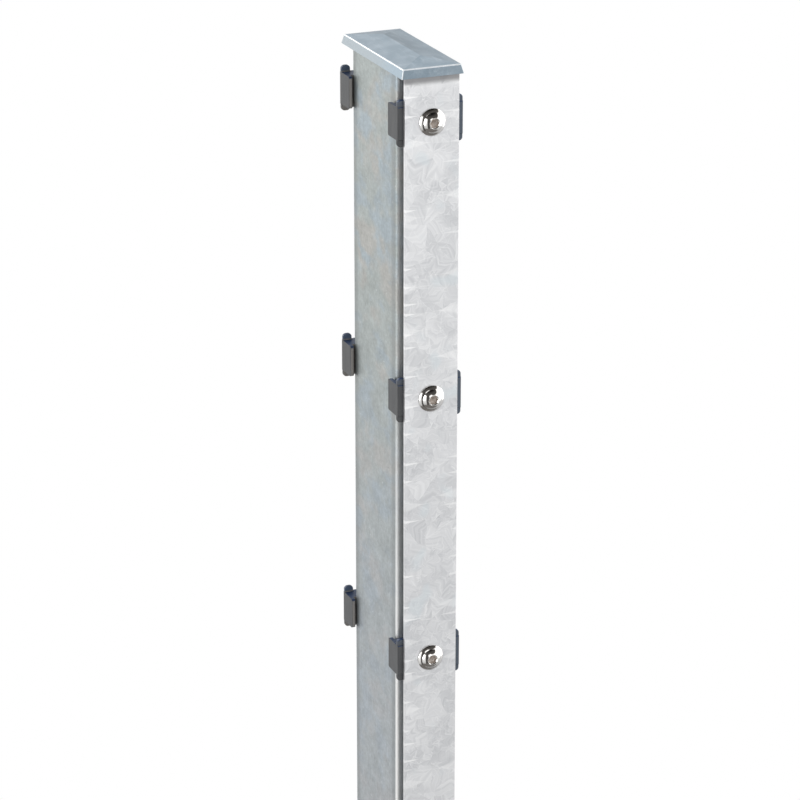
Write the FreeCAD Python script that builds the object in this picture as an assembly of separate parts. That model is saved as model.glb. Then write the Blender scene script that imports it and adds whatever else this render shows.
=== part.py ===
import FreeCAD, Part
import math
import os

from FreeCAD import Vector

# Metal fence post for welded mesh panels
#
# A galvanised rectangular tube carries a flat cover strip on its front. Moulded holders keep the
# strip off the tube, so that the horizontal wires of a mesh panel pass between the two, and the
# same holders are screwed to the back of the tube. Each screw turns into a rivet nut in the wall
# of the tube. A cast cap with a low hipped roof closes the tube and covers the end of the strip.
#
# Frame: the origin is the centre of the tube's lower end, +Z runs up the post, -Y points out of
# the front, where the cover strip is, and +X is to the right of someone who faces the strip.
# All lengths are in millimetres.

# Tube
post_length = 1300.0
tube_width = 40.0
tube_depth = 80.0
tube_wall = 2.5
tube_corner = 3.0

# Rows of holders, screws and rivet nuts, counted from the top
row_count = 5
row_pitch = 200.0
first_row_drop = 35.0

# Cover strip
strip_width = 40.0
strip_thickness = 3.0
strip_edge_round = 0.4
strip_tail = 35.0
strip_hole_diameter = 9.0

# Holder: a block between tube and strip, a plate with four corner tabs, and two side wings
wire_gap = 13.0
holder_overhang = 4.2
block_height = 23.2
block_edge_round = 0.8
holder_hole_diameter = 9.0
plate_height = 32.8
plate_thickness = 2.5
plate_corner = 2.5
plate_set_back = 0.6
plate_edge_round = 0.7
tab_width = 6.6
tab_root_round = 1.2
wing_reach = 5.0
wing_thickness = 2.6
wing_corner = 2.2

# Rivet nut
nut_flange_diameter = 15.0
nut_flange_thickness = 1.2
nut_body_diameter = 11.0
nut_length = 15.0
nut_bulge_diameter = 14.0
nut_bulge_length = 3.5
nut_hole_clearance = 0.1
nut_pocket_clearance = 0.4

# Screw with a flanged button head and a hexagon socket
thread_diameter = 8.0
thread_clearance = 0.05
screw_engagement = 12.0
screw_tip_chamfer = 0.8
head_flange_diameter = 19.4
head_flange_thickness = 2.4
head_flange_rim = 0.7
head_flange_crown = 0.12
head_dome_diameter = 14.6
head_height = 4.8
head_flat_diameter = 7.8
socket_across_flats = 6.0
socket_depth = 2.8
socket_cone_depth = 1.7
socket_chamfer = 0.5

# Cap
cap_front_overhang = 1.5
cap_side_overhang = 3.0
cap_rear_overhang = 13.0
cap_skirt_height = 6.4
cap_skirt_flare = 1.6
cap_skirt_wall = 1.1
cap_edge_round = 0.8
cap_pocket_depth = 3.0
cap_roof_rise = 3.0
cap_strip_cover = 1.0
cap_spigot_height = 12.0
cap_spigot_wall = 2.0
cap_spigot_clearance = 0.3
cap_spigot_lead = 0.8

# Places worked out from the sizes above
tube_front = -tube_depth / 2
tube_back = tube_depth / 2
strip_back = tube_front - wire_gap
strip_front = strip_back - strip_thickness
holder_width = tube_width + 2 * holder_overhang
cap_rim_level = post_length - cap_pocket_depth
cap_eaves_level = cap_rim_level + cap_skirt_height
strip_top = cap_rim_level + cap_strip_cover
row_levels = [post_length - first_row_drop - row_pitch * row for row in range(row_count)]
strip_bottom = row_levels[-1] - strip_tail


def plan_point(level):
    """A place in a horizontal plane: the outline's own axes are X and Y."""
    return lambda a, b: Vector(a, b, level)


def front_point(depth):
    """A place in an upright plane that faces the front: the outline's own axes are X and Z."""
    return lambda a, b: Vector(a, depth, b)


def side_point(offset):
    """A place in an upright plane that faces the side: the outline's own axes are Y and Z."""
    return lambda a, b: Vector(offset, a, b)


def rounded_outline(corners, place):
    """A closed wire through corners (a, b, radius), each one rounded by an arc of its radius."""
    starts, middles, ends = [], [], []
    count = len(corners)
    for index, (a, b, radius) in enumerate(corners):
        corner = Vector(a, b, 0)
        before = Vector(*corners[index - 1][:2], 0) - corner
        after = Vector(*corners[(index + 1) % count][:2], 0) - corner
        before.normalize()
        after.normalize()
        half_angle = before.getAngle(after) / 2
        run_in = radius / math.tan(half_angle)
        bisector = (before + after).normalize()
        centre = corner + bisector * (radius / math.sin(half_angle))
        starts.append(corner + before * run_in)
        middles.append(centre - bisector * radius)
        ends.append(corner + after * run_in)
    edges = []
    for index, (a, b, radius) in enumerate(corners):
        following = (index + 1) % count
        if radius > 0:
            arc = [place(p.x, p.y) for p in (starts[index], middles[index], ends[index])]
            edges.append(Part.Arc(*arc).toShape())
        run = [place(p.x, p.y) for p in (ends[index], starts[following])]
        if run[0].distanceToPoint(run[1]) > 1e-6:
            edges.append(Part.LineSegment(*run).toShape())
    return Part.Wire(edges)


def rounded_rectangle(low_a, low_b, high_a, high_b, radius, place):
    corners = [(low_a, low_b, radius), (high_a, low_b, radius),
               (high_a, high_b, radius), (low_a, high_b, radius)]
    return rounded_outline(corners, place)


def prism(wire, travel):
    return Part.Face(wire).extrude(travel)


def turned(profile):
    """Turns a profile of (radius, height over the tube's face) about the screw's axis.

    The axis is the Y axis, and heights grow towards the front, along -Y."""
    points = [Vector(radius, -height, 0) for radius, height in profile]
    wire = Part.makePolygon(points + points[:1])
    return Part.Face(wire).revolve(Vector(0, 0, 0), Vector(0, 1, 0), 360)


def cylinder(diameter, low, high):
    """A round bar on the screw's axis, from one height over the tube's face to another."""
    return Part.makeCylinder(diameter / 2, high - low, Vector(0, -low, 0), Vector(0, -1, 0))


def at_front(shape, level):
    """Sets a piece that was made against the plane Y = 0 on the tube's front face."""
    placed = shape.copy()
    placed.translate(Vector(0, tube_front, level))
    return placed


def at_back(shape, level):
    """Sets the same piece on the tube's back face, turned half round."""
    placed = shape.copy()
    placed.rotate(Vector(0, 0, 0), Vector(0, 0, 1), 180)
    placed.translate(Vector(0, tube_back, level))
    return placed


def make_tube():
    half_width, half_depth = tube_width / 2, tube_depth / 2
    outside = rounded_rectangle(-half_width, -half_depth, half_width, half_depth,
                                tube_corner, plan_point(0))
    inside = rounded_rectangle(tube_wall - half_width, tube_wall - half_depth,
                               half_width - tube_wall, half_depth - tube_wall,
                               max(tube_corner - tube_wall, 0.2), plan_point(0))
    upwards = Vector(0, 0, post_length)
    tube = prism(outside, upwards).cut(prism(inside, upwards))
    hole = cylinder(nut_body_diameter + 2 * nut_hole_clearance, -2 * tube_wall, tube_wall)
    holes = [place(hole, level) for place in (at_front, at_back) for level in row_levels]
    return tube.cut(Part.makeCompound(holes))


def make_strip():
    """A flat bar with softly broken edges, drilled for the front screws."""
    outline = rounded_rectangle(-strip_width / 2, strip_front, strip_width / 2, strip_back,
                                strip_edge_round, plan_point(strip_bottom))
    bar = prism(outline, Vector(0, 0, strip_top - strip_bottom))
    hole = cylinder(strip_hole_diameter, wire_gap - 1, wire_gap + strip_thickness + 1)
    return bar.cut(Part.makeCompound([at_front(hole, level) for level in row_levels]))


def make_holder_plate():
    """The plate behind the strip: full height at its four corner tabs, low between them."""
    half_width, half_height, half_block = holder_width / 2, plate_height / 2, block_height / 2
    tab_edge = half_width - tab_width
    outer, root = plate_corner, tab_root_round
    upper = [(half_width, half_height, outer), (tab_edge, half_height, outer),
             (tab_edge, half_block, root), (-tab_edge, half_block, root),
             (-tab_edge, half_height, outer), (-half_width, half_height, outer)]
    lower = [(-a, -b, radius) for a, b, radius in upper]
    face = plate_set_back - wire_gap
    wire = rounded_outline(upper + lower, front_point(face + plate_thickness))
    plate = prism(wire, Vector(0, -plate_thickness, 0))
    front_edges = [edge for edge in plate.Edges if abs(edge.BoundBox.YMax - face) < 1e-6]
    return plate.makeFillet(plate_edge_round, front_edges)


def make_holder_block():
    """The block between tube and strip, with a wing that reaches back along each side."""
    half_width, half_height = holder_width / 2, block_height / 2
    wing_inside = half_width - wing_thickness
    crown = block_edge_round
    plan = [(-half_width, -wire_gap, crown), (half_width, -wire_gap, crown),
            (half_width, wing_reach, crown), (wing_inside, wing_reach, crown),
            (wing_inside, 0, 0), (-wing_inside, 0, 0),
            (-wing_inside, wing_reach, crown), (-half_width, wing_reach, crown)]
    seen_from_above = prism(rounded_outline(plan, plan_point(-half_height)),
                            Vector(0, 0, block_height))
    side = [(-wire_gap, -half_height, crown), (wing_reach, -half_height, wing_corner),
            (wing_reach, half_height, wing_corner), (-wire_gap, half_height, crown)]
    seen_from_side = prism(rounded_outline(side, side_point(-half_width)),
                           Vector(holder_width, 0, 0))
    return seen_from_above.common(seen_from_side)


def make_holder():
    """One moulded holder, against the plane Y = 0 that stands for the tube's face."""
    holder = make_holder_block().fuse(make_holder_plate())
    screw_hole = cylinder(holder_hole_diameter, -1, wire_gap + 1)
    pocket = cylinder(nut_flange_diameter + 2 * nut_pocket_clearance, -1,
                      nut_flange_thickness + nut_pocket_clearance)
    return holder.cut(screw_hole.fuse(pocket)).removeSplitter()


def make_rivet_nut():
    """A threaded sleeve with its flange on the tube's face and its bulge behind the wall."""
    body, bore = nut_body_diameter / 2, thread_diameter / 2
    flange, bulge = nut_flange_diameter / 2, nut_bulge_diameter / 2
    wall_inside = -tube_wall
    bulge_middle = wall_inside - nut_bulge_length / 2
    bulge_end = wall_inside - nut_bulge_length
    profile = [(bore, nut_flange_thickness), (flange, nut_flange_thickness), (flange, 0),
               (body, 0), (body, wall_inside), (bulge, wall_inside), (bulge, bulge_middle),
               (body, bulge_end), (body, -nut_length), (bore, -nut_length)]
    return turned(profile)


def make_screw(seat):
    """A screw whose head rests at a height over the tube's face and whose tip is in the nut.

    The dome is a slice of a ball. The flange is thick at the foot of the dome and falls in a
    soft curve to a thin rim."""
    shank = thread_diameter / 2 - thread_clearance
    tip = -screw_engagement
    flange, dome = head_flange_diameter / 2, head_dome_diameter / 2
    flat = head_flat_diameter / 2
    ledge, top = seat + head_flange_thickness, seat + head_height
    ball_centre = (flat ** 2 - dome ** 2 + top ** 2 - ledge ** 2) / (2 * (top - ledge))
    ball_radius = math.hypot(flat, top - ball_centre)
    half_way = (math.asin(flat / ball_radius) + math.asin(dome / ball_radius)) / 2
    dome_middle = (ball_radius * math.sin(half_way), ball_centre + ball_radius * math.cos(half_way))

    def point(radius, height):
        return Vector(radius, -height, 0)

    def line(start, end):
        return Part.LineSegment(point(*start), point(*end)).toShape()

    rim = seat + head_flange_rim
    slope_run, slope_fall = flange - dome, ledge - rim
    outwards = head_flange_crown / math.hypot(slope_run, slope_fall)
    slope_middle = ((flange + dome) / 2 + outwards * slope_fall,
                    (rim + ledge) / 2 + outwards * slope_run)
    edges = [line((0, tip), (shank - screw_tip_chamfer, tip)),
             line((shank - screw_tip_chamfer, tip), (shank, tip + screw_tip_chamfer)),
             line((shank, tip + screw_tip_chamfer), (shank, seat)),
             line((shank, seat), (flange, seat)),
             line((flange, seat), (flange, rim)),
             Part.Arc(point(flange, rim), point(*slope_middle), point(dome, ledge)).toShape(),
             Part.Arc(point(dome, ledge), point(*dome_middle), point(flat, top)).toShape(),
             line((flat, top), (0, top)),
             line((0, top), (0, tip))]
    screw = Part.Face(Part.Wire(edges)).revolve(Vector(0, 0, 0), Vector(0, 1, 0), 360)
    return screw.cut(make_socket(top))


def make_socket(top):
    """The hexagon socket, its chamfer and the drilled cone at its bottom, as one body."""
    corner_radius = socket_across_flats / math.sqrt(3)
    corners = [Vector(corner_radius * math.cos(math.radians(60 * side)), -top,
                      corner_radius * math.sin(math.radians(60 * side))) for side in range(6)]
    hexagon = prism(Part.makePolygon(corners + corners[:1]), Vector(0, socket_depth, 0))
    mouth = corner_radius + socket_chamfer / 2
    chamfer = Part.makeCone(mouth - socket_chamfer, mouth, socket_chamfer,
                            Vector(0, socket_chamfer - top, 0), Vector(0, -1, 0))
    cone = Part.makeCone(socket_across_flats / 2, 0, socket_cone_depth,
                         Vector(0, socket_depth - top, 0), Vector(0, 1, 0))
    return hexagon.fuse([chamfer, cone])


def cap_corners(inset, level):
    """The four corners of the cap's plan at a level, drawn in from its lower rim by an inset."""
    side = strip_width / 2 + cap_side_overhang - inset
    front = strip_front - cap_front_overhang + inset
    back = tube_back + cap_rear_overhang - inset
    return [Vector(-side, front, level), Vector(side, front, level),
            Vector(side, back, level), Vector(-side, back, level)]


def closed_solid(outlines):
    faces = [Part.Face(Part.makePolygon(outline + outline[:1])) for outline in outlines]
    return Part.makeSolid(Part.makeShell(faces))


def flared_block(inset, low, high):
    """A block whose four walls lean in with the skirt's flare from one level to another."""
    lean = cap_skirt_flare / cap_skirt_height
    lower, upper = [cap_corners(inset + lean * (level - cap_rim_level), level)
                    for level in (low, high)]
    walls = [[lower[i], lower[(i + 1) % 4], upper[(i + 1) % 4], upper[i]] for i in range(4)]
    return closed_solid([lower, upper] + walls)


def make_roof():
    """The low hipped roof on top of the skirt: four slopes and a ridge along the post's depth."""
    eaves = cap_corners(cap_skirt_flare, cap_eaves_level)
    slope_run = (eaves[1].x - eaves[0].x) / 2
    ridge = cap_eaves_level + cap_roof_rise
    ends = [Vector(0, eaves[0].y + slope_run, ridge), Vector(0, eaves[2].y - slope_run, ridge)]
    return closed_solid([eaves, [eaves[0], eaves[1], ends[0]], [eaves[2], eaves[3], ends[1]],
                         [eaves[1], eaves[2], ends[1], ends[0]],
                         [eaves[3], eaves[0], ends[0], ends[1]]])


def make_cap_outside():
    """Skirt and roof in one, with the four upright corners and the eaves softly rounded."""
    block = flared_block(0, cap_rim_level, cap_eaves_level).fuse(make_roof()).removeSplitter()
    uprights = [edge for edge in block.Edges
                if edge.BoundBox.ZMin < cap_rim_level + 0.01
                and edge.BoundBox.ZMax > cap_eaves_level - 0.01]
    eaves = [edge for edge in block.Edges
             if abs(edge.BoundBox.ZMin - cap_eaves_level) < 0.01
             and abs(edge.BoundBox.ZMax - cap_eaves_level) < 0.01]
    return block.makeFillet(cap_edge_round, uprights + eaves)


def make_spigot():
    """The collar under the cap that sits in the mouth of the tube."""
    outer_x = tube_width / 2 - tube_wall - cap_spigot_clearance
    outer_y = tube_depth / 2 - tube_wall - cap_spigot_clearance
    lead = cap_spigot_lead
    top = post_length
    bottom = top - cap_spigot_height

    def ring(reduce, level):
        return rounded_rectangle(reduce - outer_x, reduce - outer_y, outer_x - reduce,
                                 outer_y - reduce, 1.0, plan_point(level))

    upper = prism(ring(0, bottom + lead), Vector(0, 0, cap_spigot_height - lead))
    lower = Part.makeLoft([ring(lead, bottom), ring(0, bottom + lead)], True, True)
    hollow = prism(ring(cap_spigot_wall, bottom), Vector(0, 0, cap_spigot_height))
    return upper.fuse(lower).cut(hollow)


def make_cap():
    pocket = flared_block(cap_skirt_wall, cap_rim_level, post_length)
    cap = make_cap_outside().cut(pocket)
    return cap.fuse(make_spigot()).removeSplitter()


def write(shape, node):
    """Writes one node as a STEP file and says what it holds."""
    solids = shape.Solids
    if len(solids) != 1 or not shape.isValid():
        raise ValueError("%s is not one sound solid" % node)
    solids[0].exportStep("parts/%s.step" % node)
    box = solids[0].BoundBox
    print("%-20s %9.1f mm3  %6.1f x %6.1f x %6.1f mm" %
          (node, solids[0].Volume, box.XLength, box.YLength, box.ZLength))


def main():
    os.makedirs("parts", exist_ok=True)
    write(make_tube(), "post_tube")
    write(make_cap(), "post_cap")
    write(make_strip(), "cover_strip")
    holder = make_holder()
    rivet_nut = make_rivet_nut()
    front_screw = make_screw(wire_gap + strip_thickness)
    rear_screw = make_screw(wire_gap)
    for number, level in enumerate(row_levels, start=1):
        write(at_front(holder, level), "holder_front_%d" % number)
        write(at_front(rivet_nut, level), "rivet_nut_front_%d" % number)
        write(at_front(front_screw, level), "screw_front_%d" % number)
        write(at_back(holder, level), "holder_rear_%d" % number)
        write(at_back(rivet_nut, level), "rivet_nut_rear_%d" % number)
        write(at_back(rear_screw, level), "screw_rear_%d" % number)


main()
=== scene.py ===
# %% [markdown]
# # A galvanised fence post
#
# The post carries welded mesh panels. A steel tube stands upright, a flat cover strip is screwed to
# its front over five moulded wire holders, five more holders sit on its back, and a low hipped cap
# closes the top. The solids come ready made, at their real size and in metres. This lesson gives
# them their surfaces: two finishes of zinc, satin cast metal, moulded plastic, polished stainless
# steel and plated steel.

import math

import bpy
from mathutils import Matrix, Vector


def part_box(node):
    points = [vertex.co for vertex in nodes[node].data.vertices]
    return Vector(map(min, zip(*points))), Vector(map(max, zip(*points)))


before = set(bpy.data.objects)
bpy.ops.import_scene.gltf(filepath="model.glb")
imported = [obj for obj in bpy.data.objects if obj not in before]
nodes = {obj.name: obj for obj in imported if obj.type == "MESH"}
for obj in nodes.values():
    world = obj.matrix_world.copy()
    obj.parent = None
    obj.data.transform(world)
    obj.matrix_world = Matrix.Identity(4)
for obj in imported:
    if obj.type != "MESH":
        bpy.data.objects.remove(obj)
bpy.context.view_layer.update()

# %% [markdown]
# ## Places on the post
#
# Everything later is placed from a few levels and edges of the solids themselves. If the post is
# made longer or wider, the finishes and the camera follow it, and the lamps aim near its top.

# %% Read the levels that the finishes need
strip_low, strip_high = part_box("cover_strip")
tube_low, tube_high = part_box("post_tube")
cap_low, cap_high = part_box("post_cap")
screw_low, screw_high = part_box("screw_front_1")
rear_screw_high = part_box("screw_rear_1")[1]

top_screw = Vector((0, strip_low.y, (screw_low.z + screw_high.z) / 2))
row_pitch = screw_low.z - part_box("screw_front_2")[0].z
print("strip face at", round(strip_low.y, 4), "top screw at", round(top_screw.z, 4))
print("rows are", round(row_pitch, 4), "apart, the cap's top is at", round(cap_high.z, 4))

# %% [markdown]
# ## Writing shader maths as expressions
#
# A material in Blender is a graph of nodes, and building it call by call hides the idea behind it.
# The small class below wraps one output of a node. Adding or multiplying two of them creates the
# Math node and wires it up, so that a mask can be written as `1 - speck * edge`.

# %% A node output that can be used in expressions
class Signal:
    def __init__(self, tree, socket):
        self.tree = tree
        self.socket = socket

    def of(self, name):
        """Another output of the same node."""
        return Signal(self.tree, self.tree.find(self.socket.node.outputs, name))

    def __add__(self, other):
        return self.tree.maths("ADD", self, other)

    def __sub__(self, other):
        return self.tree.maths("SUBTRACT", self, other)

    def __rsub__(self, other):
        return self.tree.maths("SUBTRACT", other, self)

    def __mul__(self, other):
        return self.tree.maths("MULTIPLY", self, other)

    def __truediv__(self, other):
        return self.tree.maths("DIVIDE", self, other)

    def __rtruediv__(self, other):
        return self.tree.maths("DIVIDE", other, self)

    def __abs__(self):
        return self.tree.maths("ABSOLUTE", self)

    __radd__ = __add__
    __rmul__ = __mul__

    def floor(self):
        return self.tree.maths("FLOOR", self)

    def sine(self):
        return self.tree.maths("SINE", self)

    def larger(self, other):
        """The larger one of two numbers."""
        return self.tree.maths("MAXIMUM", self, other)

    def rise(self, start, end):
        """0 below start, 1 above end, and a smooth step between them. start may be the larger."""
        return self.tree.node("ShaderNodeMapRange", {"interpolation_type": "SMOOTHSTEP"},
                              {"Value": self, "From Min": start, "From Max": end})


def hypot(first, second):
    """How far away a point is that lies this far along each of two axes."""
    return first.tree.maths("SQRT", first * first + second * second)


# %% [markdown]
# ## One method for every other node
#
# A tree is built by naming a node's type, its settings and what goes into its sockets. Settings
# come first, because they decide which sockets a node has. What is used often, such as noise,
# places on the post and mixed colours, gets a short name of its own.

# %% A node tree under construction
class Tree:
    def __init__(self, owner):
        owner.use_nodes = True
        self.nodes = owner.node_tree.nodes
        self.links = owner.node_tree.links
        self.nodes.clear()

    def find(self, sockets, key):
        """A socket by its number, its identifier or its name."""
        if isinstance(key, int):
            return sockets[key]
        return next(socket for socket in sockets if key in (socket.identifier, socket.name))

    def node(self, kind, settings=None, sockets=None, output=0):
        """Any node. It gives the chosen output, or the node itself if it has none."""
        made = self.nodes.new(kind)
        for name, value in (settings or {}).items():
            setattr(made, name, value)
        for key, value in (sockets or {}).items():
            socket = self.find(made.inputs, key)
            if isinstance(value, Signal):
                self.links.new(value.socket, socket)
            else:
                socket.default_value = value
        if made.outputs:
            return Signal(self, self.find(made.outputs, output))
        return made

    def maths(self, operation, *values):
        return self.node("ShaderNodeMath", {"operation": operation}, dict(enumerate(values)))

    def vector(self, operation, *values):
        return self.node("ShaderNodeVectorMath", {"operation": operation}, dict(enumerate(values)))

    def place(self):
        """Where a point is on the post, in metres."""
        return self.node("ShaderNodeTexCoord", output="Object")

    def facing(self):
        """The direction that the surface faces, as three numbers between -1 and 1."""
        return self.split(self.node("ShaderNodeNewGeometry", output="Normal"))

    def split(self, vector):
        parts = self.node("ShaderNodeSeparateXYZ", None, {"Vector": vector})
        return parts, parts.of("Y"), parts.of("Z")

    def join(self, x, y, z):
        return self.node("ShaderNodeCombineXYZ", None, {"X": x, "Y": y, "Z": z})

    def moved(self, place, offset):
        """Places moved far along, so that a second noise doesn't repeat the first."""
        return self.vector("ADD", place, offset)

    def stretched(self, place, factors):
        """Places scaled along each axis. A factor under 1 draws out what is laid over them."""
        return self.vector("MULTIPLY", place, factors)

    def noise(self, place, grain, detail=2.0, roughness=0.5):
        """Soft random values between 0 and 1, whose blotches are about `grain` metres wide."""
        return self.node("ShaderNodeTexNoise", {"noise_dimensions": "3D"},
                         {"Vector": place, "Scale": 1 / grain, "Detail": detail,
                          "Roughness": roughness})

    def blend(self, factor, first, second):
        """A colour that goes from the first to the second."""
        return self.node("ShaderNodeMix", {"data_type": "RGBA"},
                         {"Factor_Float": factor, "A_Color": first, "B_Color": second},
                         "Result_Color")

    def scaled(self, colour, amount):
        """A colour made lighter or darker by a number."""
        return self.vector("MULTIPLY", colour, self.join(amount, amount, amount))


# %% [markdown]
# ## What all finishes share
#
# Each finish ends in one Principled shader. Colour, roughness, metallic and the surface normal
# change from point to point, and everything else is a plain number on the shader's own socket.

# %% Close a material
def colour(red, green, blue):
    return (red, green, blue, 1.0)


def finish(name, build):
    """Makes a material: build gets a tree and returns the sockets of the Principled shader."""
    material = bpy.data.materials.new(name)
    tree = Tree(material)
    shader = tree.node("ShaderNodeBsdfPrincipled", None, build(tree))
    tree.node("ShaderNodeOutputMaterial", None, {"Surface": shader})
    print(name, "has", len(tree.nodes), "nodes")
    return material


def relief(tree, height, depth):
    """A bump of a height between 0 and 1 that is `depth` metres deep."""
    return tree.node("ShaderNodeBump", None, {"Height": height, "Distance": depth, "Strength": 1.0})


# %% [markdown]
# ## Zinc crystals
#
# When thin steel comes out of the zinc bath, the zinc freezes in large flat crystals. Each grows
# from its own centre in six arms with fine side branches, like frost on a window. A Voronoi
# texture gives the centres. The angle round a centre, cut into six sectors, gives the flat wedges,
# and bands that run at sixty degrees to each arm give the feathers inside them. The numbers that
# spread out the chances only keep any two wedges from looking alike.

# %% Frost-like crystals in the plane of two coordinates
arms = 6
sector_angle = math.radians(360 / arms)
shade_spread = 40
band_spread = 60
band_step = 9
line_edge = 0.0006
line_core = 0.0001


def crystals(tree, across, up, through, size, feather):
    """Gives the wedge shade, the feather shade and a thin line between wedges, each 0 to 1."""
    place = tree.join(across / size, up / size, through / size)
    cell = tree.node("ShaderNodeTexVoronoi", {"feature": "F1", "voronoi_dimensions": "3D"},
                     {"Vector": place, "Scale": 1.0, "Randomness": 1.0}, "Color")
    chance_x, chance_y, chance_z = tree.split(cell)
    from_x, from_y = tree.split(tree.vector("SUBTRACT", place, cell.of("Position")))[:2]
    reach = hypot(from_x, from_y)
    turn = tree.maths("ARCTAN2", from_y, from_x) / sector_angle + chance_x * arms
    sector = turn.floor()
    off_arm = abs(turn - sector - 0.5) * sector_angle
    key = tree.join(chance_y * shade_spread, sector, chance_z * shade_spread)
    wedge = tree.node("ShaderNodeTexWhiteNoise", {"noise_dimensions": "3D"}, {"Vector": key})
    branch = reach * (sector_angle - off_arm).sine() * size
    along = branch / feather + chance_y * band_spread + sector * band_step
    bands = tree.node("ShaderNodeTexNoise", {"noise_dimensions": "1D"},
                      {"W": along, "Scale": 1.0, "Detail": 1.5, "Roughness": 0.6})
    gap = reach * (sector_angle / 2 - off_arm).sine() * size
    line = gap.rise(line_edge, line_core) * wedge.rise(0.55, 0.65) * bands.rise(0.35, 0.6)
    return wedge, bands, line


# %% [markdown]
# ## The cover strip
#
# The strip is the brightest surface: almost white zinc with large feathered crystals, seen as soft
# shapes only a little lighter or darker than the metal round them. Two layers of crystals overlap,
# because in the real coating small ones fill the spaces between large ones. Their outlines aren't
# straight, so the places are bent by a slow noise before the crystals are laid over them.

# %% Large and small crystals together
mean_tone = 0.57
wander_reach = 0.007


def crystal_tone(tree, place):
    """How pale the zinc is: 0 for its darkest and 1 for its lightest colour."""
    wander = tree.noise(place, 0.016).of("Color")
    x, y, z = tree.split(tree.vector("ADD", place, tree.scaled(wander, wander_reach)))
    depth = y * 0.3
    wedge, bands, line = crystals(tree, x, z, depth, size=0.028, feather=0.0026)
    large = (wedge - 0.5) * 0.30 + (bands - 0.5) * 0.58
    small_wedge, small_bands, small_line = crystals(tree, x + 0.4, z + 0.3, depth, size=0.013,
                                                    feather=0.0016)
    small = (small_wedge - 0.5) * 0.24 + (small_bands - 0.5) * 0.50
    part = tree.noise(place, 0.030, detail=1.0).rise(0.40, 0.52)
    cloud = tree.noise(place, 0.030, detail=3.0) - 0.5
    mixed = large * part + small * (1 - part)
    return mean_tone + mixed + cloud * 0.5 + (line + small_line) * 0.20


# %% [markdown]
# Short pale wedges at the strip's edges are where the zinc ran back round the sharp arris. A level
# on the post is cut into rows, and a random number for each row shifts its wedge, sets how far it
# reaches inwards, and leaves some wedges out.

# %% Pale wedges along an edge
spare_length = 0.009
blunt_tip = 0.04


def edge_wedges(tree, level, off_edge, pitch, half_width, shortest, left_out):
    """A mask of wedges that taper inwards, one to each pitch, with a share of them left out."""
    row = level / pitch
    cell = row.floor()
    chance = tree.node("ShaderNodeTexWhiteNoise", {"noise_dimensions": "1D"}, {"W": cell}, "Color")
    shift, presence, length = tree.split(chance)
    off_wedge = abs(row - cell - 0.25 - shift * 0.5) * pitch
    inwards = off_edge / (shortest + length * spare_length)
    taper = (1 + blunt_tip - inwards).larger(blunt_tip)
    inside = (off_wedge / taper).rise(half_width, half_width * 0.4)
    return inside * presence.rise(left_out, left_out + 0.05)


# %% [markdown]
# The finish puts the two together. A little blue lies over parts of the zinc. A painted shadow
# darkens the narrow band under the cap, and painted shade darkens the back of the strip. The narrow
# wedges at the right edge are fewer and fainter, and their level is moved so that they don't repeat
# the left ones.

# %% Spangled zinc
strip_light = colour(0.770, 0.775, 0.785)
strip_dark = colour(0.500, 0.510, 0.528)
strip_blue = colour(0.62, 0.68, 0.71)
# Colour of the painted shadow under the cap and of the painted shade on the strip's back.
strip_painted_shade = colour(0.20, 0.20, 0.205)
strip_wedge = colour(0.95, 0.95, 0.95)
# The painted shadow under the cap runs between these two levels.
cap_shadow_start = strip_high.z - 0.0078
cap_shadow_full = strip_high.z - 0.0034
# The painted shade on the back of the strip runs between these two depths.
back_shade_start = strip_high.y - 0.0012
back_shade_full = strip_high.y - 0.0002


def spangled(tree):
    place = tree.place()
    x, y, z = tree.split(place)
    tone = crystal_tone(tree, place)
    bluish = tree.noise(place, 0.020, detail=1.0).rise(0.60, 0.75)
    right = x.rise(-0.001, 0.001)
    off_edge = strip_high.x - abs(x)
    bars = edge_wedges(tree, z + right * 0.55, off_edge, pitch=0.011, half_width=0.0014,
                       shortest=0.004, left_out=0.42 + right * 0.36)
    broad_bars = edge_wedges(tree, z + right * 0.83, off_edge, pitch=0.027, half_width=0.0052,
                             shortest=0.009, left_out=0.35)
    zinc = tree.blend(tone.rise(0.0, 1.0), strip_dark, strip_light)
    zinc = tree.blend(bluish * 0.5, zinc, strip_blue)
    zinc = tree.blend(broad_bars * 0.30, zinc, strip_wedge)
    zinc = tree.blend(bars * (0.65 - right * 0.25), zinc, strip_wedge)
    # Painted shadow of the cap on the top of the strip.
    zinc = tree.blend(z.rise(cap_shadow_start, cap_shadow_full) * 0.85, zinc, strip_painted_shade)
    # Painted shade on the back of the strip.
    zinc = tree.blend(y.rise(back_shade_start, back_shade_full) * 0.3, zinc, strip_painted_shade)
    return {"Base Color": zinc,
            "Roughness": 0.44 - tone * 0.12,
            "Metallic": 0.72,
            "Normal": relief(tree, tone, depth=0.00004)}


spangled_zinc = finish("spangled_zinc", spangled)

# %% [markdown]
# ## The tube
#
# The tube was dipped whole, in a hotter bath. Its zinc is darker, smooth and only softly mottled,
# with faint green, blue or warm clouds as wide as a thumb, a fine grain, small pale specks, and a
# few dark smudges where it was handled. Towards the foot it is bluer and more even. Each layer is
# a noise of its own, laid over places that are moved or drawn out first.

# %% Soft clouds, grain, specks and smudges
tube_grey = colour(0.375, 0.410, 0.400)
tube_warm = colour(0.398, 0.398, 0.378)
tube_blue = colour(0.344, 0.399, 0.430)
tube_foot = colour(0.374, 0.402, 0.442)
tube_speck = colour(0.72, 0.74, 0.75)
# Colour of the dark handling smudges, and of the painted shade beside the corners and behind the
# strip.
tube_smudge_and_shade = colour(0.17, 0.18, 0.18)


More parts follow.
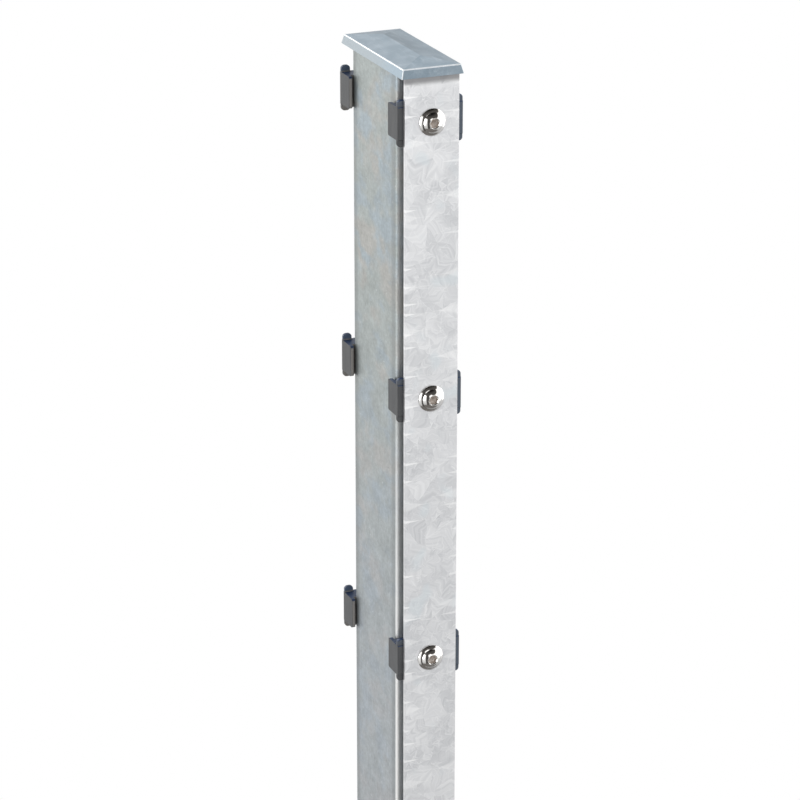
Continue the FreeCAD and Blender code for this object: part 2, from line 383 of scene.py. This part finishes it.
def clouded(tree, place, towards_foot):
    """Gives the zinc's colour, its fine grain and its small clouds."""
    drawn = tree.stretched(place, (1.0, 0.5, 0.75))
    streaks = tree.stretched(place, (1.0, 1.0, 0.16))
    broad = tree.noise(drawn, 0.024, detail=3.0, roughness=0.6)
    cool = tree.noise(tree.moved(drawn, (0.7, 0.2, 0.4)), 0.020, detail=3.0, roughness=0.6)
    cloud = tree.noise(tree.moved(drawn, (0.3, 0.6, 0.1)), 0.009, detail=3.0, roughness=0.65)
    fine = tree.noise(place, 0.0024, detail=3.0, roughness=0.7)
    marks = tree.noise(streaks, 0.0022)
    speck = tree.noise(tree.moved(place, (0.1, 0.9, 0.3)), 0.0026, detail=1.0).rise(0.73, 0.78)
    smudge = tree.noise(tree.moved(place, (0.5, 0.1, 0.8)), 0.0045).rise(0.76, 0.84)
    zinc = tree.blend(broad.rise(0.46, 0.62), tube_grey, tube_warm)
    zinc = tree.blend(cool.rise(0.47, 0.64), zinc, tube_blue)
    zinc = tree.blend(towards_foot * 0.55, zinc, tube_foot)
    tone = (1 + (fine - 0.5) * 0.75 + (marks - 0.5) * 0.22 + (broad - 0.5) * 0.20
            + (cloud - 0.5) * 0.55)
    zinc = tree.blend(speck * 0.4, tree.scaled(zinc, tone), tube_speck)
    return tree.blend(smudge * 0.6, zinc, tube_smudge_and_shade), fine, cloud


# %% [markdown]
# The tube's rounded corners are pale towards the foot, most of all in front: partly wear, and
# mostly a painted highlight. They are the places that face both ways at once. A painted shade band
# runs beside them on the long sides. On the face behind the strip, a painted highlight makes the
# edges pale and a painted shade makes the middle dull, down to the strip's lower end.

# %% Worn and highlit corners, painted shade and the face behind the strip
# Pale colour for the corners, partly wear and mostly a painted highlight, and for the painted
# highlight on the face behind the strip.
tube_rubbed_highlight = colour(0.90, 0.90, 0.89)
# The painted shade band on the long sides, beside each corner, runs between these two depths.
shade_band_start = tube_high.y - 0.0110
shade_band_full = tube_high.y - 0.0055
front_reach = 0.02
face_start = tube_low.y + 0.0006
face_full = tube_low.y + 0.0001
strip_end_fade = 0.012
# Widths of the painted highlight at the edges and the painted shade in the middle of the face
# behind the strip.
lit_edge_start = tube_high.x - 0.0060
lit_edge_full = tube_high.x - 0.0032
face_shade_start = tube_high.x - 0.0040
face_shade_full = tube_high.x - 0.0065


def worn_and_painted_light(tree, zinc, place, towards_foot):
    facing_x, facing_y = tree.facing()[:2]
    x, y, z = tree.split(place)
    corner = abs(facing_x * facing_y).rise(0.15, 0.5)
    shade_beside_corner = abs(y).rise(shade_band_start, shade_band_full) * (1 - corner)
    # Painted shade: a darker band beside each corner on the long sides.
    zinc = tree.blend(shade_beside_corner * abs(facing_x).rise(0.5, 0.9) * 0.40, zinc, tube_smudge_and_shade)
    at_front = y.rise(front_reach, -front_reach)
    # Painted highlight on the rounded corners, with some wear, stronger towards the foot and in
    # front.
    zinc = tree.blend(corner * towards_foot * (0.45 + at_front * 0.55), zinc, tube_rubbed_highlight)
    behind_strip = z.rise(strip_low.z - strip_end_fade, strip_low.z + strip_end_fade)
    front_face = y.rise(face_start, face_full) * behind_strip
    # Painted highlight on the edges of the face behind the strip.
    zinc = tree.blend(front_face * abs(x).rise(lit_edge_start, lit_edge_full) * 0.4, zinc, tube_rubbed_highlight)
    # Painted shade in the middle of the face behind the strip.
    return tree.blend(front_face * abs(x).rise(face_shade_start, face_shade_full) * 0.5, zinc, tube_smudge_and_shade)


# %% [markdown]
# The finish works out how near the foot a place is and hands that to both helpers, because the
# colour and the painted corner highlight change together.

# %% Smooth mottled zinc
foot_start = tube_high.z - 0.12
foot_full = tube_high.z - 0.52


def mottled(tree):
    place = tree.place()
    towards_foot = tree.split(place)[2].rise(foot_start, foot_full)
    zinc, fine, cloud = clouded(tree, place, towards_foot)
    return {"Base Color": worn_and_painted_light(tree, zinc, place, towards_foot),
            "Roughness": 0.42 + (fine - 0.5) * 0.16,
            "Metallic": 0.60,
            "Normal": relief(tree, fine * 0.5 + cloud * 0.5, depth=0.00008)}


mottled_zinc = finish("mottled_zinc", mottled)

# %% [markdown]
# ## The cap
#
# The rounded edges along the cap's eaves and down the four corners of its skirt are pale: a little
# wear and a painted highlight. So the first step is a mask of places that are near the outline in
# plan and near the level of the eaves, or near two sides at once. The skirt leans outwards, so its
# outline grows below the eaves.

# %% Worn eaves and corners with a painted highlight
roof_rise = 0.003
skirt_height = 0.0064
skirt_flare = 0.0016
cap_middle = (cap_low.y + cap_high.y) / 2
cap_eaves = cap_high.z - roof_rise
highlight_start = -0.0008
outline_full = -0.0003
corner_full = -0.0004
eaves_start = cap_eaves - 0.0009
eaves_full = cap_eaves - 0.0004


# Mask of the eaves and skirt corners that get some wear and a painted highlight.
def worn_highlit_edges(x, y, z):
    lean = (cap_eaves - z) / skirt_height * skirt_flare
    past_side = abs(x) - (cap_high.x - skirt_flare) - lean
    past_end = abs(y - cap_middle) - (cap_high.y - cap_middle - skirt_flare) - lean
    outline = past_side.larger(past_end).rise(highlight_start, outline_full)
    eaves = outline * z.rise(eaves_start, eaves_full)
    corner = past_side.rise(highlight_start, corner_full) * past_end.rise(highlight_start, corner_full)
    return eaves.larger(corner)


# %% [markdown]
# The cap is a casting with a blue-grey satin skin. Its flat faces show a very fine grain and a few
# pale rubbed marks. Painted light makes the left slope of the roof the palest, and painted shade
# darkens the right one along the ridge towards the back and darkens the front of the skirt. The
# skirt's two long sides are greyer towards the back.

# %% Satin cast metal
cap_grey = colour(0.222, 0.295, 0.355)
cap_pale = colour(0.365, 0.438, 0.500)
cap_side = colour(0.26, 0.30, 0.325)
# Pale colour of the worn edges, most of it a painted highlight.
cap_worn_highlight = colour(0.82, 0.85, 0.87)
ridge_edge = 0.018
ridge_core = 0.004
ridge_front = cap_middle - 0.035
bluer_start = cap_low.y + 0.055
bluer_full = cap_low.y + 0.010


def cast(tree):
    place = tree.place()
    broad = tree.noise(place, 0.014)
    grain = tree.noise(place, 0.0022, detail=3.0, roughness=0.7)
    marks = tree.noise(tree.stretched(place, (1.0, 0.25, 1.0)), 0.004)
    facing_x, facing_y, facing_z = tree.facing()
    x, y, z = tree.split(place)
    roof = facing_z.rise(0.5, 0.8)
    # Painted light on the left roof slope, and painted shade on the front of the skirt and on the
    # right slope by the ridge.
    lit_left_slope = facing_x.rise(0.05, -0.05) * roof
    shaded_front = facing_y.rise(-0.6, -0.9)
    near_ridge = x.rise(ridge_edge, ridge_core) * y.rise(ridge_front, cap_middle)
    ridge_shade = (roof - lit_left_slope) * near_ridge
    tone = broad.rise(0.35, 0.70) * 0.5 + marks.rise(0.52, 0.72) * 0.5 + lit_left_slope * 0.28
    metal = tree.blend(tone + shaded_front * 0.3 - ridge_shade * 0.3, cap_grey, cap_pale)
    side = tree.blend(y.rise(bluer_start, bluer_full) * 0.7, cap_side, cap_grey)
    metal = tree.blend(abs(facing_x).rise(0.6, 0.9), metal, side)
    metal = tree.scaled(metal, 1 + (grain - 0.5) * 0.36 - shaded_front * 0.29 - ridge_shade * 0.16)
    # Painted highlight with some wear along the eaves and skirt corners.
    worn_highlight = worn_highlit_edges(x, y, z) * (0.55 + grain * 0.6)
    return {"Base Color": tree.blend(worn_highlight, metal, cap_worn_highlight),
            "Roughness": 0.36 + (grain - 0.5) * 0.14,
            "Metallic": 0.65 - worn_highlight * 0.35,
            "Normal": relief(tree, grain, depth=0.00003)}


cast_cap = finish("cast_cap", cast)

# %% [markdown]
# ## The holders
#
# All holders are alike, and what changes over a holder goes by the height above its own screw.
# That height is what is left when whole rows are taken off a place's level. The screws need it too,
# to find their own axis.

# %% Height above the screw of the same row
def above_own_screw(z):
    row = (z - top_screw.z) / row_pitch + 0.5
    return (row - row.floor() - 0.5) * row_pitch


# %% [markdown]
# The holders are moulded in a dark slate grey plastic that is rough enough to look dull face on and
# has a soft sheen where the light grazes it. The faces that look up carry a painted navy reflection
# of a clear sky. The tabs above the block are slate blue, most of all at the back, where a painted
# sheen makes the narrow front faces of the wings paler. Beyond the strip's right edge the plastic
# is a lighter slate blue.

# %% Moulded plastic
plastic_dark = colour(0.054, 0.056, 0.059)
plastic_pale = colour(0.082, 0.084, 0.087)
# Colour of the painted reflection of a clear sky on faces that look up.
plastic_sky_reflection = colour(0.024, 0.043, 0.096)
plastic_slate = colour(0.080, 0.098, 0.125)
plastic_tab = colour(0.092, 0.130, 0.200)
# Colour of the painted sheen on the narrow front faces of the rear wings.
plastic_painted_sheen = colour(0.34, 0.32, 0.30)
tab_start = 0.0112
tab_full = 0.0135
back_reach = 0.01
right_start = strip_high.x - 0.0005
right_full = strip_high.x + 0.0005


def moulded(tree):
    place = tree.place()
    flow = tree.noise(tree.stretched(place, (1.0, 1.0, 0.3)), 0.006)
    skin = tree.noise(place, 0.0006, roughness=0.6)
    facing_y, facing_z = tree.facing()[1:]
    x, y, z = tree.split(place)
    at_back = y.rise(-back_reach, back_reach)
    above_block = above_own_screw(z).rise(tab_start, tab_full)
    # Painted sheen on the narrow front faces of the rear holders' wings.
    painted_sheen = at_back * (1 - above_block) * facing_y.rise(-0.6, -0.9)
    right_front = x.rise(right_start, right_full) * facing_y.rise(-0.4, -0.9)
    plastic = tree.blend(flow.rise(0.3, 0.7) * 0.6 + skin * 0.3, plastic_dark, plastic_pale)
    plastic = tree.blend(above_block * (0.3 + at_back * 0.5), plastic, plastic_tab)
    plastic = tree.blend(painted_sheen * 0.75, plastic, plastic_painted_sheen)
    plastic = tree.blend(right_front, plastic, plastic_slate)
    # Painted reflection of the sky on the faces that look up.
    return {"Base Color": tree.blend(facing_z.rise(0.15, 0.7), plastic, plastic_sky_reflection),
            "Specular IOR Level": 0.33,
            "Roughness": 0.42 + (skin - 0.5) * 0.2,
            "Normal": relief(tree, skin, depth=0.00003)}


moulded_plastic = finish("moulded_plastic", moulded)

# %% [markdown]
# ## The screws and their nuts
#
# The heads are polished stainless steel. A mirror shows what stands round it, so the finish itself
# is simple: very low roughness and a warm grey tint. The hexagon socket was pressed, not polished,
# so near the screw's axis and below the flat of a front or rear head the steel is rough and less
# metallic, and a painted shade makes it darker and a little brown.

# %% Polished steel with a pressed socket
steel_dark = colour(0.74, 0.73, 0.71)
steel_pale = colour(0.82, 0.81, 0.79)
# Colour of the pressed socket, darkened by painted shade.
steel_pressed_shade = colour(0.56, 0.50, 0.45)
socket_edge = 0.0037
socket_full = 0.0035
pressed_start = 0.0006
pressed_full = 0.0009


def polished(tree):
    place = tree.place()
    haze = tree.noise(place, 0.0012, roughness=0.6)
    x, y, z = tree.split(place)
    off_axis = hypot(x, above_own_screw(z))
    below_front = (y - screw_low.y).rise(pressed_start, pressed_full)
    below_rear = (rear_screw_high.y - y).rise(pressed_start, pressed_full)
    # Mask of the socket: rougher pressed steel with painted shade.
    pressed_and_shaded = off_axis.rise(socket_edge, socket_full) * below_front * below_rear
    steel = tree.blend(haze, steel_dark, steel_pale)
    return {"Base Color": tree.blend(pressed_and_shaded, steel, steel_pressed_shade),
            "Roughness": 0.06 + haze * 0.06 + pressed_and_shaded * 0.4,
            "Metallic": 1.0 - pressed_and_shaded * 0.4}


polished_steel = finish("polished_steel", polished)

# %% [markdown]
# The rivet nuts are plated steel and are hidden in the wall of the tube. They get a plain finish
# that is a little yellow and not quite even.

# %% Plated steel
plate_dark = colour(0.58, 0.57, 0.50)
plate_pale = colour(0.68, 0.67, 0.61)


def plated(tree):
    haze = tree.noise(tree.place(), 0.0015, roughness=0.6)
    return {"Base Color": tree.blend(haze, plate_dark, plate_pale),
            "Roughness": 0.30 + haze * 0.15,
            "Metallic": 0.9}


plated_steel = finish("plated_steel", plated)

# %% [markdown]
# ## Dressing the solids
#
# Each solid keeps its shape and only changes its material. The finish is picked by the first words
# of the solid's name, so that a post with more rows of holders is dressed by the same few lines.

# %% Give each solid its finish
finishes = {"post_tube": mottled_zinc, "post_cap": cast_cap, "cover_strip": spangled_zinc,
            "holder": moulded_plastic, "screw": polished_steel, "rivet_nut": plated_steel}

for name, solid in nodes.items():
    chosen = next(finishes[start] for start in finishes if name.startswith(start))
    for slot in solid.material_slots:
        slot.material = chosen
print("dressed", len(nodes), "solids")

# %% [markdown]
# ## The floor
#
# The post stands on a pale round floor that fades out into the white surroundings, so that no edge
# or horizon shows. The fade is a mix with a transparent shader that follows the distance from the
# post. The floor isn't mirrored, because the screw heads need something dark below them.

# %% Pale floor that fades out
floor_radius = 0.60
floor_corners = 96
floor_fade_start = 0.22
floor_fade_end = floor_radius * 0.98
floor_level = tube_low.z - 0.0002
floor_shade = colour(0.86, 0.86, 0.86)


def floor_material():
    material = bpy.data.materials.new("pale_floor")
    tree = Tree(material)
    x, y = tree.split(tree.place())[:2]
    fade = hypot(x, y).rise(floor_fade_start, floor_fade_end)
    paint = tree.node("ShaderNodeBsdfDiffuse", None, {"Color": floor_shade})
    clear = tree.node("ShaderNodeBsdfTransparent")
    surface = tree.node("ShaderNodeMixShader", None, {0: fade, 1: paint, 2: clear})
    tree.node("ShaderNodeOutputMaterial", None, {"Surface": surface})
    return material


bpy.ops.mesh.primitive_circle_add(vertices=floor_corners, radius=floor_radius,
                                  fill_type="NGON", location=(0, 0, floor_level))
floor = bpy.context.object
floor.name = "floor"
floor.data.materials.append(floor_material())
floor.visible_glossy = False

# %% [markdown]
# ## The surroundings
#
# Polished metal needs more than plain white round it, because a mirror in an all-white room has no
# shape. So what the metal mirrors is a studio with white walls, a dark floor and an arched dark
# ceiling, and a narrow dark doorway in front on the left. That is what draws the dark hourglass
# between two white fields on each screw head. The walls behind the post are dimmer on the right,
# and have a glow on the left. All of it is worked out from the direction that a ray takes.

# %% The studio that the metal mirrors
doorway_turn = math.radians(-30)
doorway = Vector((math.sin(doorway_turn), -math.cos(doorway_turn), 0))
front_wall = 1.3
dim = 0.085
ground_glow = 0.10


def dark_parts(x, y, z):
    """Masks of the arched ceiling, the ground and the doorway, for a look right, back and up."""
    ceiling = (z - y * 0.55 + abs(x) * 0.35).rise(0.93, 1.03)
    ground = z.rise(-0.74, -0.86)
    towards_door = (x * doorway.x + y * doorway.y) / hypot(x, y)
    return ceiling, ground, towards_door.rise(0.970, 0.982)


def wall_light(x, y, z):
    """How bright the walls are: more towards the ceiling, less behind the post on the right."""
    behind = y.rise(-0.2, 0.6)
    glow = z.rise(-0.22, -0.12) * z.rise(0.75, 0.55) * x.rise(0.0, -0.3) * y.rise(0.3, 0.6)
    return front_wall + z * (1 - behind * 0.5) - behind * (x * 0.5 + 0.45) + glow


# %% [markdown]
# The camera sees plain white all round, and everything that isn't mirrored gets an even light. The
# kind of ray decides which of the three it meets. The dark parts of the studio are a little warm.

# %% A world that each kind of ray sees in its own way
white = 1.0
even_light = 0.55
plain_tint = colour(1.0, 1.0, 1.0)
warm_shade = colour(1.0, 0.94, 0.89)

world = bpy.data.worlds.new("studio")
bpy.context.scene.world = world
room = Tree(world)
look_x, look_y, look_z = room.split(room.node("ShaderNodeTexCoord", output="Generated"))
ceiling, ground, opening = dark_parts(look_x, look_y, look_z)
lit = (1 - ceiling) * (1 - ground) * (1 - opening)
overhead = look_z.rise(0.60, 0.92)
walls = wall_light(look_x, look_y, look_z)
studio = dim * (1 - overhead * 0.9) + ground * ground_glow + walls * lit
path = room.node("ShaderNodeLightPath", output="Is Camera Ray")
plain = path.larger(path.of("Is Transmission Ray"))
mirrored = path.of("Is Glossy Ray")
strength = plain * white + (1 - plain) * (mirrored * studio + (1 - mirrored) * even_light)
tint = room.blend((1 - lit) * mirrored * (1 - plain), plain_tint, warm_shade)
background = room.node("ShaderNodeBackground", None, {"Color": tint, "Strength": strength})
room.node("ShaderNodeOutputWorld", None, {"Surface": background})
print("the surroundings have", len(room.nodes), "nodes")

# %% [markdown]
# ## The lamps
#
# Four soft panels light the post. The strongest hangs high in front, a little to the right, and
# lights the strip. It isn't mirrored, because it would wash out the dark hourglass on the screw
# heads. One more stands on each side and lights that side of the tube, and a small one behind the
# post lights the cap's roof and the rear edges.

# %% Four soft panels
aim = Vector((0, 0, top_screw.z - 0.1))
low_aim = Vector((0, 0, top_screw.z - 0.4))


def soft_panel(name, place, target, width, height, power):
    lamp = bpy.data.lights.new(name, "AREA")
    lamp.shape = "RECTANGLE"
    lamp.size = width
    lamp.size_y = height
    lamp.energy = power
    panel = bpy.data.objects.new(name, lamp)
    bpy.context.scene.collection.objects.link(panel)
    panel.location = place
    panel.rotation_mode = "QUATERNION"
    panel.rotation_quaternion = (target - Vector(place)).to_track_quat("-Z", "Y")
    panel.visible_camera = False
    return panel


key = soft_panel("key_panel", (0.5, -1.5, 2.9), aim, width=1.4, height=1.2, power=30)
key.visible_glossy = False
soft_panel("right_panel", (2.0, -0.25, 0.85), low_aim, width=1.1, height=1.5, power=6)
soft_panel("left_panel", (-1.8, -0.85, 1.15), low_aim, width=0.7, height=1.5, power=9)
soft_panel("rim_panel", (-0.75, 2.0, 2.2), aim, width=0.9, height=0.6, power=8)
print("the panels aim at", round(aim.z, 3), "and", round(low_aim.z, 3))

# %% [markdown]
# ## The camera
#
# The photograph was taken from the left of the front, from above the post, with a long lens. The
# place and the angles were fitted to corners that can be found in the picture, such as the ends of
# the strip's edges and the middle of each screw.

# %% Camera at the photograph's viewpoint
view_offset = Vector((-0.8066, -1.8752, 0.568))
view_fall = math.radians(20.65)
view_turn = math.radians(22.66)
focal_pixels = 3114.8
picture_pixels = 800
sensor_width = 36.0

lens = bpy.data.cameras.new("camera")
lens.sensor_width = sensor_width
lens.lens = focal_pixels / picture_pixels * sensor_width
lens.clip_end = 50.0
camera = bpy.data.objects.new("camera", lens)
bpy.context.scene.collection.objects.link(camera)
camera.location = top_screw + view_offset
camera.rotation_euler = (math.radians(90) - view_fall, 0, -view_turn)
bpy.context.scene.camera = camera
bpy.context.scene.view_settings.view_transform = "Standard"
print("focal length", round(lens.lens, 1), "mm")
